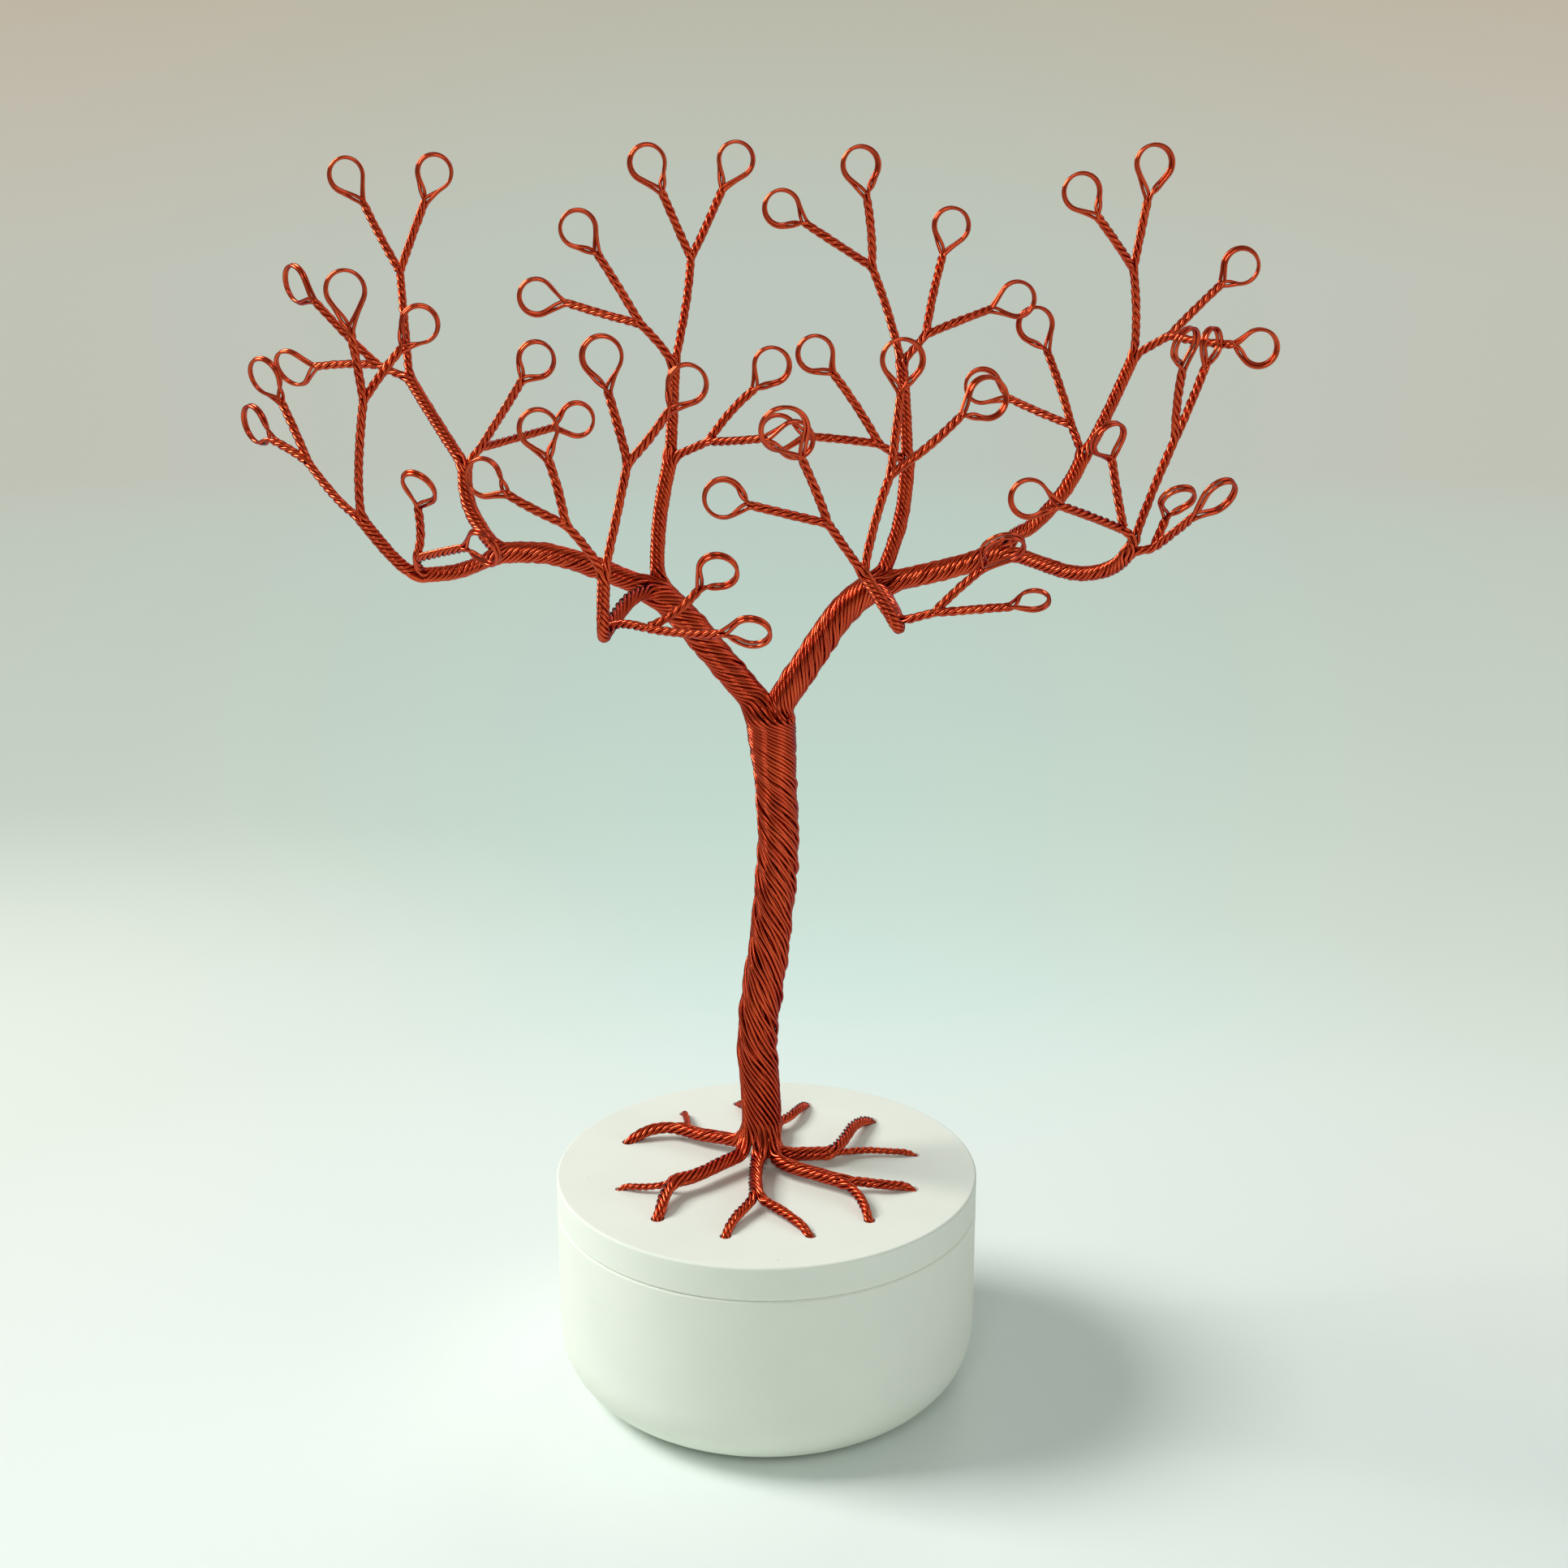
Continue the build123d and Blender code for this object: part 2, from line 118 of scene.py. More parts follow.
def warmer_sideways(tree, colour, way):
    """A far colour, turned from green to a warm grey at both sides of the view. way holds how far right
    and how far ahead of the viewpoint it is seen."""
    warm_factors = (1.055, 0.945, 0.925, 1)
    first_slope, last_slope = 0.02, 0.42
    slope = combine(tree, "DIVIDE", way.outputs["X"], way.outputs["Y"])
    steepness = add_node(tree, "ShaderNodeMath", {"operation": "ABSOLUTE"}, links={0: slope})
    share = add_node(tree, "ShaderNodeMapRange", {"interpolation_type": "SMOOTHSTEP"},
                     {"From Min": first_slope, "From Max": last_slope},
                     {"Value": steepness.outputs[0]})
    warmed = add_node(tree, "ShaderNodeMix", {"data_type": "RGBA", "blend_type": "MULTIPLY"},
                      {7: warm_factors}, {0: share.outputs["Result"], 6: colour})
    return warmed.outputs[2]


horizon_colour = "#BDC7BD"
surround = bpy.data.worlds.new("surround")
bpy.context.scene.world = surround
surround.use_nodes = True
tree = surround.node_tree
tree.nodes.clear()
world_way = add_node(tree, "ShaderNodeTexCoord")
way = add_node(tree, "ShaderNodeSeparateXYZ", links={0: world_way.outputs["Generated"]})
wall = ramp(tree, way.outputs["Z"], [(0.0, horizon_colour), (0.06, "#BDC2B5"), (0.125, "#BBBAAA")])
wall = warmer_sideways(tree, wall, way)
lighting = add_node(tree, "ShaderNodeBackground", inputs={"Color": linear("#E5EEEB"), "Strength": 0.32})
dimmer_behind = add_node(tree, "ShaderNodeMapRange", links={"Value": way.outputs["Y"]},
                         inputs={"From Min": -0.9, "From Max": 0.3, "To Min": 0.36})
rays = add_node(tree, "ShaderNodeLightPath")
brightness = combine(tree, "MAXIMUM", dimmer_behind.outputs["Result"], rays.outputs["Is Camera Ray"])
shown = add_node(tree, "ShaderNodeBackground", links={"Color": wall, "Strength": brightness})
mixed = add_node(tree, "ShaderNodeMixShader",
                 links={0: seen_directly(tree), 1: lighting.outputs[0], 2: shown.outputs[0]})
add_node(tree, "ShaderNodeOutputWorld", links={"Surface": mixed.outputs[0]})

painted_board, tree = new_material("pale_painted_board")
fade_middle = (0.03, -0.13, 0)
fade_reach = 2.5
pool_middle = (-0.35, 0.12, 0)
eye_on_board = (0.004, -0.428, 0)
place = add_node(tree, "ShaderNodeTexCoord")
distance = add_node(tree, "ShaderNodeVectorMath", {"operation": "DISTANCE"}, {1: fade_middle},
                    {0: place.outputs["Object"]})
fade_share = add_node(tree, "ShaderNodeMath", {"operation": "DIVIDE"}, {1: fade_reach},
                      {0: distance.outputs["Value"]})
far_colour = ramp(tree, fade_share.outputs[0], [
    (0.06, "#E8F6EF"), (0.13, "#DBEEE6"), (0.16, "#D3E8DF"), (0.2, "#CCE0D5"), (0.26, "#C5DACE"),
    (0.35, "#C1D5CA"), (0.5, "#BED1C6"), (0.74, "#BCCDC3"), (0.97, horizon_colour),
])
from_eye = add_node(tree, "ShaderNodeVectorMath", {"operation": "SUBTRACT"}, {1: eye_on_board},
                    {0: place.outputs["Object"]})
way = add_node(tree, "ShaderNodeSeparateXYZ", links={0: from_eye.outputs[0]})
far_colour = warmer_sideways(tree, far_colour, way)
# A painted pool of light: the board's far colour turns paler round pool_middle, at the left, where the
# key lamp falls.
from_pool = add_node(tree, "ShaderNodeVectorMath", {"operation": "DISTANCE"}, {1: pool_middle},
                     {0: place.outputs["Object"]})
pool_of_light = add_node(tree, "ShaderNodeMapRange", {"interpolation_type": "SMOOTHSTEP"},
                         {"From Min": 0.05, "From Max": 0.43, "To Min": 0.9, "To Max": 0.0},
                         {"Value": from_pool.outputs["Value"]})
far_colour = add_node(tree, "ShaderNodeMix", {"data_type": "RGBA"}, {7: linear("#EFF6EC")},
                      {0: pool_of_light.outputs["Result"], 6: far_colour}).outputs[2]
faded = add_node(tree, "ShaderNodeMapRange", inputs={"From Min": 0.07, "From Max": 0.15},
                 links={"Value": fade_share.outputs[0]})
far_part = combine(tree, "MULTIPLY", faded.outputs["Result"], seen_directly(tree))
board = add_node(tree, "ShaderNodeBsdfPrincipled",
                 inputs={"Base Color": linear("#E9F1EB"), "Roughness": 0.7, "Specular IOR Level": 0.15})
haze = add_node(tree, "ShaderNodeEmission", inputs={"Strength": 1.0}, links={"Color": far_colour})
mixed = add_node(tree, "ShaderNodeMixShader",
                 links={0: far_part, 1: board.outputs[0], 2: haze.outputs[0]})
add_node(tree, "ShaderNodeOutputMaterial", links={"Surface": mixed.outputs[0]})
board_radius = 40
shape = bmesh.new()
bmesh.ops.create_circle(shape, cap_ends=True, segments=96, radius=board_radius)
floor_mesh = bpy.data.meshes.new("floor")
shape.to_mesh(floor_mesh)
shape.free()
floor_mesh.materials.append(painted_board)
floor = bpy.data.objects.new("floor", floor_mesh)
bpy.context.scene.collection.objects.link(floor)

lit_point = Vector((0, 0, 0.15))
for name, place, size, watts in (
    ("key", (-1.3, 0.08, 1.3), 0.76, 29.2),
    ("front", (-0.1, -0.9, 0.8), 0.35, 1.6),
    ("side", (0.95, -0.4, 0.45), 0.6, 1.3),
    ("back", (0.3, 0.9, 0.8), 0.4, 1.3),
):
    lamp = bpy.data.lights.new(name, "AREA")
    lamp.size = size
    lamp.energy = watts
    holder = bpy.data.objects.new(name, lamp)
    holder.location = place
    holder.rotation_euler = (lit_point - Vector(place)).to_track_quat("-Z", "Y").to_euler()
    bpy.context.scene.collection.objects.link(holder)


# Box and lid: cast in round moulds from a white plaster and acrylic composite. It is matt, with the
# fine grain of the plaster, a faint mottle and a few pinholes where air was trapped.
cast_plaster, tree = new_material("cast_plaster_composite")
grain_mm = 0.35
mottle_mm = 18
pinhole_mm = 22
pinhole_bottom = 0.008
pinhole_rim = 0.014
grain_share = 0.12
place = add_node(tree, "ShaderNodeTexCoord")
mottle = add_node(tree, "ShaderNodeTexNoise", inputs={"Scale": 1000 / mottle_mm, "Detail": 3},
                  links={"Vector": place.outputs["Object"]})
tint = add_node(tree, "ShaderNodeMix", {"data_type": "RGBA"},
                {6: linear("#ECF0E4"), 7: linear("#E2E7DB")}, {0: mottle.outputs["Fac"]})
cells = add_node(tree, "ShaderNodeTexVoronoi", inputs={"Scale": 1000 / pinhole_mm},
                 links={"Vector": place.outputs["Object"]})
clear_of_pinhole = add_node(tree, "ShaderNodeMapRange", links={"Value": cells.outputs["Distance"]},
                            inputs={"From Min": pinhole_bottom, "From Max": pinhole_rim})
# The pinholes are painted a darker grey (#C9CCC2). This is painted shade inside them, while the same
# mask also sinks them in the bump.
colour = add_node(tree, "ShaderNodeMix", {"data_type": "RGBA"}, {6: linear("#C9CCC2")},
                  {0: clear_of_pinhole.outputs["Result"], 7: tint.outputs[2]})
grain = add_node(tree, "ShaderNodeTexNoise", inputs={"Scale": 1000 / grain_mm, "Detail": 2},
                 links={"Vector": place.outputs["Object"]})
relief = add_node(tree, "ShaderNodeMath", {"operation": "MULTIPLY_ADD"}, {1: grain_share},
                  {0: grain.outputs["Fac"], 2: clear_of_pinhole.outputs["Result"]})
bump = add_node(tree, "ShaderNodeBump", inputs={"Strength": 0.5, "Distance": 0.15 * mm},
                links={"Height": relief.outputs[0]})
shade = add_node(tree, "ShaderNodeBsdfPrincipled",
                 inputs={"Roughness": 0.62, "IOR": 1.5, "Specular IOR Level": 0.35},
                 links={"Base Color": colour.outputs[2], "Normal": bump.outputs["Normal"]})
add_node(tree, "ShaderNodeOutputMaterial", links={"Surface": shade.outputs[0]})
for name in ("box", "lid"):
    cast_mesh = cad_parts[name].data
    cast_mesh.materials.clear()
    cast_mesh.materials.append(cast_plaster)


# Wire: soft copper winding wire, 0.8 mm thick, with a clear red-brown enamel over the metal. The
# enamel adds a second, sharper gloss, and its colour drifts a little along the wire.
enamelled_copper, tree = new_material("enamelled_copper_wire")
drift_mm = 6
place = add_node(tree, "ShaderNodeTexCoord")
drift = add_node(tree, "ShaderNodeTexNoise", inputs={"Scale": 1000 / drift_mm, "Detail": 2},
                 links={"Vector": place.outputs["Object"]})
colour = add_node(tree, "ShaderNodeMix", {"data_type": "RGBA"},
                  {6: linear("#AE2B0B"), 7: linear("#DF5621")}, {0: drift.outputs["Fac"]})
scuffs = add_node(tree, "ShaderNodeMapRange", inputs={"To Min": 0.13, "To Max": 0.23},
                  links={"Value": drift.outputs["Fac"]})
shade = add_node(tree, "ShaderNodeBsdfPrincipled",
                 inputs={"Metallic": 1.0, "Specular Tint": linear("#4A0A02"), "Coat Weight": 0.42,
                         "Coat Roughness": 0.14, "Coat IOR": 1.55},
                 links={"Base Color": colour.outputs[2], "Roughness": scuffs.outputs["Result"]})
add_node(tree, "ShaderNodeOutputMaterial", links={"Surface": shade.outputs[0]})

# The wires of a bundle lie in rings, the outer ring first. The four outer rings are drawn all the way,
# and of the rings inside them only the ends, because where a bundle parts every wire shows. Lengths
# are millimetres until the pieces are made, and a lay is the wires' lean in degrees at foot and head.
wire_d = 0.8
wire_fill = 0.68
ring_step = 0.86 * wire_d
rings = {
    3: (3,), 4: (4,), 6: (5, 1), 8: (6, 2), 9: (6, 3), 12: (8, 4), 24: (12, 8, 4),
    48: (18, 14, 10, 6), 96: (24, 20, 16, 13, 10, 8, 5),
}
shown_rings = 4
stub_points = 3
slender_wires = 4
slender_lay = (25, 25)
stout_lay = (40, 40)
full_turn = 6.28
line_step = 0.5
lid_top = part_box("lid")[1].z / mm
hand = random.Random(11)
drawn = {}


def at(place):
    """A point right of, behind and above the middle of the lid's top face."""
    x, y, z = place
    return Vector((x, y, z + lid_top))


def bundle_radius(wires):
    """The radius at which so many round wires fill their usual share of a bundle's section."""
    return 0.5 * wire_d * math.sqrt(wires / wire_fill)


def outer_ring(wires):
    """The radius of the ring that the middles of a bundle's outer wires lie on."""
    return bundle_radius(wires) - wire_d / 2


def slots(wires):
    """The places of a bundle's wires in its section: each one's radius, angle and ring. A ring's wires
    lie over the gaps of the next, and a lone inner wire is a little off the middle."""
    places = []
    off_middle = 0.25 * wire_d
    for ring, number in enumerate(rings[wires]):
        radius = max(outer_ring(wires) - ring * ring_step, off_middle)
        for i in range(number):
            places.append((radius, 2 * math.pi * (i + 0.5 * (ring % 2)) / number, ring))
    return places


def bundle(piece, wires, route, parts=(), lay=None, swell=(0, 1.0)):
    """A twisted bundle: its piece, its route, the bundles it parts into, its lay angles, and its swell:
    the share of its length from which its radius changes, and how many times it is at the end."""
    return {
        "piece": piece, "wires": wires, "route": [at(place) for place in route], "parts": list(parts),
        "lay": lay or (slender_lay if wires <= slender_wires else stout_lay), "swell": swell,
    }


def turning(bundle, share=0.5):
    """How far a bundle's wires turn about it for each millimetre, at a share of its length. Most of
    the change of its lay comes near its head."""
    foot, head = bundle["lay"]
    return math.tan(math.radians(foot + (head - foot) * share ** 3)) / outer_ring(bundle["wires"])


def evenly(points, step):
    """The same line with points about one step apart."""
    fewest_steps = 3
    lengths = [(b - a).length for a, b in zip(points, points[1:])]
    total = sum(lengths)
    count = max(fewest_steps, round(total / step))
    result, index, passed = [points[0]], 0, 0.0
    for i in range(1, count):
        goal = total * i / count
        while passed + lengths[index] < goal:
            passed += lengths[index]
            index += 1
        result.append(points[index].lerp(points[index + 1], (goal - passed) / lengths[index]))
    return result + [points[-1]]


def bow(start, corner, end, pieces=24):
    """A parabola from start to end that is drawn towards a corner."""
    shares = [i / pieces for i in range(pieces + 1)]
    return [start.lerp(corner, t).lerp(corner.lerp(end, t), t) for t in shares]


def smooth(points, step):
    """One smooth line drawn towards each inner point in turn."""
    if len(points) == 2:
        return evenly(points, step)
    line, start = [points[0]], points[0]
    for i in range(1, len(points) - 1):
        end = points[-1] if i == len(points) - 2 else (points[i] + points[i + 1]) / 2
        line += bow(start, points[i], end)[1:]
        start = end
    return evenly(line, step)


def carry(line, normal):
    """A normal carried along a line without turning: at each point its place, normal and binormal."""
    stations, before = [], None
    for i, point in enumerate(line):
        tangent = (line[min(i + 1, len(line) - 1)] - line[max(i - 1, 0)]).normalized()
        if before is not None:
            normal = before.rotation_difference(tangent) @ normal
        normal = (normal - tangent * normal.dot(tangent)).normalized()
        stations.append((point, normal, tangent.cross(normal)))
        before = tangent
    return stations


def ease(share):
    """A share that sets off and arrives gently."""
    return share * share * (3 - 2 * share)


def beside(station, radius, angle):
    """The point at a radius and an angle from a station's middle."""
    point, normal, binormal = station
    return point + (normal * math.cos(angle) + binormal * math.sin(angle)) * radius


def draw(piece, line):
    """Give one wire's line to the piece that it is drawn in."""
    drawn.setdefault(piece, []).append(line)


def lay_evenly(bundle, normal, start, end):
    """The even part of a bundle between its forks: its stations, and a line for each wire.
    Left-handed, with each wire swaying a little from its place, as hand-twisted wire does. A stout
    bundle is made from slimmer ones, so its section has soft lobes, which show as ridges along it."""
    longest_step, step_turn = 0.9, 0.25
    step = min(longest_step, step_turn / turning(bundle))
    stations = carry(smooth([start] + bundle["route"][1:-1] + [end], step), normal)
    spots = slots(bundle["wires"])
    lines = [[] for _ in spots]
    shortest_sway, longest_sway = 9, 17
    phases = [(hand.uniform(0, full_turn), hand.uniform(0, full_turn),
               hand.uniform(shortest_sway, longest_sway)) for _ in spots]
    sway = 0.06 * bundle_radius(bundle["wires"])
    lift_share, slip_stretch = 0.6, 1.3
    rise_from_ends = 6
    lobes, stout_from = 5, 24
    lobe_depth = 0.045 if bundle["wires"] >= stout_from else 0
    lobe_turn = hand.uniform(0, full_turn)
    swell_start, last_size = bundle["swell"]
    turned, passed = 0.0, 0.0
    for i, station in enumerate(stations):
        share = i / (len(stations) - 1)
        if i:
            run = (station[0] - stations[i - 1][0]).length
            turned += turning(bundle, share) * run
            passed += run
        away_from_ends = min(1, rise_from_ends * share * (1 - share))
        swing = sway * away_from_ends
        size = 1 + (last_size - 1) * ease(max(0, (share - swell_start) / (1 - swell_start)))
        for line, (radius, angle, _), (rise_phase, slip_phase, period) in zip(lines, spots, phases):
            lift = swing * lift_share * math.sin(rise_phase + full_turn * passed / period)
            lift += lobe_depth * away_from_ends * radius * math.cos(lobes * angle + lobe_turn)
            slip = swing * math.sin(slip_phase + full_turn * passed / (slip_stretch * period))
            line.append(beside(station, radius * size + lift, angle - turned + slip / radius))
    return stations, lines


def flow(start, way_in, end, way_out, stiffness=0.36, pieces=24):
    """A smooth line from one point and direction to another."""
    pull = (end - start).length * stiffness
    a, b, c, d = start, start + way_in * pull, end - way_out * pull, end
    points = []
    for i in range(pieces + 1):
        t = i / pieces
        rest = 1 - t
        points.append(a * rest ** 3 + b * 3 * t * rest ** 2 + c * 3 * t * t * rest + d * t ** 3)
    return evenly(points, line_step)


def way_of(a, b):
    """The direction from one point to another."""
    return (b - a).normalized()


def middle_of(points):
    """The point in the middle of some points."""
    return sum(points, Vector()) / len(points)


def match(heads, way_in, lines, way_out):
    """Pair each wire that arrives with the free place in the next bundle that it is heading for."""
    turn = way_in.rotation_difference(way_out)
    gap = (middle_of([head[-1] for head in heads]) - middle_of([line[0] for line in lines])).length
    look_ahead = 0.4
    ends = [head[-1] + way_of(*head[-2:]) * look_ahead * gap for head in heads]
    starts = [line[0] - way_of(*line[:2]) * look_ahead * gap for line in lines]
    end_middle, start_middle = middle_of(ends), middle_of(starts)
    pairs = sorted(((turn @ (end - end_middle) - (start - start_middle)).length, i, j)
                   for i, end in enumerate(ends) for j, start in enumerate(starts))
    chosen, taken = {}, set()
    for _, i, j in pairs:
        if i not in chosen and j not in taken:
            chosen[i] = j
            taken.add(j)
    return chosen


def deal(bundle, heads, middle, way_in):
    """Share a bundle's wires among its parts, each to the part that it is heading for. A twig with a
    loop takes half as many as it shows, because they come back down it."""
    look_ahead = 1.5 * bundle_radius(bundle["wires"])
    ends = [head[-1] + way_of(*head[-2:]) * look_ahead for head in heads]
    parts = bundle["parts"]
    ranked = []
    for j, part in enumerate(parts):
        way = way_of(part["route"][0], part["route"][1])
        way = (way - way_in * way.dot(way_in)).normalized()
        ranked += [(-(end - middle).dot(way), i, j) for i, end in enumerate(ends)]
    room = [part["wires"] // 2 if "loop" in part else part["wires"] for part in parts]
    groups, dealt = [[] for _ in parts], set()
    for _, i, j in sorted(ranked):
        if i not in dealt and room[j]:
            dealt.add(i)
            room[j] -= 1
            groups[j].append(i)
    return groups


def off_fork(fork, towards, thick_bundle, radii, route):
    """The point on a route's first or last run where its wires are clear of the fork: so many radii of
    the thicker bundle from it, but not too near the run's other end."""
    only_run_share, end_run_share = 0.45, 0.8
    most = (only_run_share if len(route) == 2 else end_run_share) * (towards - fork).length
    return fork + way_of(fork, towards) * min(radii * bundle_radius(thick_bundle["wires"]), most)


def last_point(bundle):
    """Where the even part of a bundle ends: at its tip, or short of its fork or loop."""
    parting_radii = 0.75
    before, tip = bundle["route"][-2:]
    if not bundle["parts"] and "loop" not in bundle:
        return tip
    return off_fork(tip, before, bundle, parting_radii, bundle["route"])


def first_point(bundle, parent):
    """Where the even part of a bundle begins, past the fork that it comes from."""
    gathering_radii = 1.7
    fork, after = bundle["route"][:2]
    return off_fork(fork, after, parent, gathering_radii, bundle["route"])


def grow(bundle, piece, heads, lead_in, parent_end, normal, parent):
    """Lead wires into a bundle, lay it, and go on into its parts. heads are the lines so far of the
    wires that arrive, drawn in piece. lead_in and normal are the parent's at its even part's end,
    which is at parent_end."""
    start = first_point(bundle, parent)
    way_out = way_of(*bundle["route"][:2])
    normal = lead_in.rotation_difference(way_out) @ normal
    if "loop" in bundle:
        grow_twig(bundle, heads, lead_in, parent_end, normal, start, way_out)
        return
    stations, lines = lay_evenly(bundle, normal, start, last_point(bundle))
    chosen = match(heads, lead_in, lines, way_out)
    grown = [None] * len(lines)
    for i, j in chosen.items():
        crossing = flow(heads[i][-1], way_of(*heads[i][-2:]), lines[j][0], way_of(*lines[j][:2]))
        if piece == bundle["piece"]:
            grown[j] = heads[i] + crossing[1:-1]
        else:
            half = len(crossing) // 2
            draw(piece, heads[i] + crossing[1:half + 1])
            grown[j] = crossing[half:-1]
    part_bundle(bundle, grown, lines, stations)


def part_bundle(bundle, grown, lines, stations):
    """Join a bundle's even part to its wires so far, and lead them on into its parts."""
    for j, (_, _, ring) in enumerate(slots(bundle["wires"])):
        if ring < shown_rings:
            grown[j] = grown[j] + lines[j]
        else:
            draw(bundle["piece"], grown[j] + lines[j][:stub_points])
            grown[j] = lines[j][-stub_points:]
    if not bundle["parts"]:
        for line in grown:
            draw(bundle["piece"], line)
        return
    middle, normal, _ = stations[-1]
    way_in = way_of(stations[-2][0], middle)
    groups = deal(bundle, grown, middle, way_in)
    for part, group in zip(bundle["parts"], groups):
        grow(part, bundle["piece"], [grown[i] for i in group], way_in, middle, normal, bundle)


# Loops and sprigs: a stem of four wires parts into two twigs. Two wires go out along each twig, round
# its loop side by side, and back down the twig, where their ends are wound in and cut off at the fork.
pair_gap = 0.84


def make_sprig(label, stem, twigs):
    """A sprig. A loop is given by the way it points, in degrees clockwise from straight up and then
    leant back, by its turn about that way, by its radius and by its shoulder."""
    sprig = bundle(label + "_wires", 4, stem)
    for route, loop in twigs:
        twig = bundle(label + "_wires", 4, [stem[-1]] + route)
        twig["loop"] = loop
        sprig["parts"].append(twig)
    return sprig


def loop_line(neck, foot, aim, lean, turn, radius, shoulder):
    """The middle line of a loop's two wires, out and back, and the loop's normal."""
    aim, lean, turn = (math.radians(angle) for angle in (aim, lean, turn))
    way = Vector((math.sin(aim) * math.cos(lean), math.sin(lean), math.cos(aim) * math.cos(lean)))
    to_viewer = Vector((0, -1, 0))
    normal = (to_viewer - way * to_viewer.dot(way)).normalized()
    normal = Quaternion(way, -turn) @ normal
    across = normal.cross(way)
    reach = radius + shoulder
    middle = neck + way * reach
    sweep = math.pi / 2 + math.asin(radius / reach)
    half_pieces = 18
    arc = []
    for i in range(2 * half_pieces + 1):
        angle = sweep * (1 - i / half_pieces)
        arc.append(middle + (way * math.cos(angle) + across * math.sin(angle)) * radius)
    leg_share = 0.55
    out = bow(foot, neck, neck.lerp(arc[0], leg_share))
    back = bow(neck.lerp(arc[-1], leg_share), neck, foot)
    return evenly(out + arc + back, line_step), normal


def at_or_below(limit, angle):
    """The angle moved by half turns to the first one that isn't above a limit."""
    return angle - math.pi * math.ceil((angle - limit) / math.pi)


def grow_twig(twig, heads, lead_in, parent_end, normal, start, way_out):
    """Lay a twig and its loop. Slots 0 and 2 hold the wires on their way out, 1 and 3 their tails. The
    two wires turn about each other on the loop, by chosen angles at the knots of its length, and the
    tails end wound round the fork's wires."""
    foot = last_point(twig)
    neck = twig["route"][-1]
    stations, lines = lay_evenly(twig, normal, start, foot)
    middle_line, loop_normal = loop_line(neck, foot, *twig["loop"])
    frames = carry(middle_line, loop_normal)
    outward, tail = lines[0][-1] - foot, lines[1][-1] - foot
    first = math.atan2(outward.dot(frames[0][2]), outward.dot(frames[0][1]))
    last = math.atan2(tail.dot(frames[-1][2]), tail.dot(frames[-1][1]))
    least_start, most_start = 0.2, 0.8
    least_turn, most_turn = 0.6, 1.3
    round_start = at_or_below(first, hand.uniform(least_start, most_start))
    round_end = round_start - hand.uniform(least_turn, most_turn)
    turns = [first, round_start, round_end, at_or_below(round_end, last)]
    knots = [0, 0.2, 0.82, 1]
    foot_share = 1 / 8
    swapped = round((turns[-1] - last) / math.pi) % 2
    loops = [[], []]
    for i, station in enumerate(frames):
        share = i / (len(frames) - 1)
        k = max(n for n in range(len(knots) - 1) if share >= knots[n])
        run_share = ease((share - knots[k]) / (knots[k + 1] - knots[k]))
        angle = turns[k] + (turns[k + 1] - turns[k]) * run_share
        near_foot = max(0, 1 - min(share, 1 - share) / foot_share)
        radius = pair_gap / 2 + (outer_ring(twig["wires"]) - pair_gap / 2) * near_foot
        for side in (0, 1):
            loops[side].append(beside(station, radius, angle + math.pi * side))
    chosen = match(heads, lead_in, [lines[0], lines[2]], way_out)
    fork = twig["route"][0]
    wound_step, wound_share, wound_spread = 0.3, 0.62, 0.02
    wound = carry(evenly(bow(start, fork, parent_end), wound_step), lines[1][0] - start)
    wound = wound[:int(wound_share * len(wound))]
    for i, side in chosen.items():
        out = lines[2 * side]
        crossing = flow(heads[i][-1], way_of(*heads[i][-2:]), out[0], way_of(*out[:2]))
        which = 1 if side == swapped else 3
        back = lines[which][::-1]
        end_turn = 0 if which == 1 else math.pi
        end = []
        for k, station in enumerate(wound[1:], 1):
            radius = outer_ring(twig["wires"]) * (1 + wound_spread * k)
            end.append(beside(station, radius, end_turn - turning(twig) * wound_step * k))
        draw(twig["piece"], heads[i] + crossing[1:-1] + out + loops[side][1:-1] + back + end)


# Branches: each is twelve wires as far as its low fork, where a sprig leaves it, and eight from there
# to its end, where two more do. They are twisted by hand from the same wire as all the rest.
branches = {}


def make_branch(label, low_part, high_part, lay=stout_lay):
    """A branch: twelve wires along its low part, and eight along its high part."""
    high = bundle(label + "_wires", 8, high_part)
    branches[label] = bundle(label + "_wires", 12, low_part, [high], lay)
    return branches[label]


def make_sprigs(first, branch, sprigs):
    """The sprigs of one branch, numbered from first: two at its end and one at its low fork."""
    for number, (stem, *twigs) in enumerate(sprigs, first):
        bearer = branch if at(stem[0]) == branch["route"][-1] else branch["parts"][0]
        bearer["parts"].append(make_sprig(f"sprig_{number:02d}", stem, twigs))


crotch = (1, 0, 110)
left_parting = (-24, 0, 138.5)
right_parting = (24.5, 0, 140)
left_end = (-58, 0, 147)
right_end = (53, 0, 147.5)

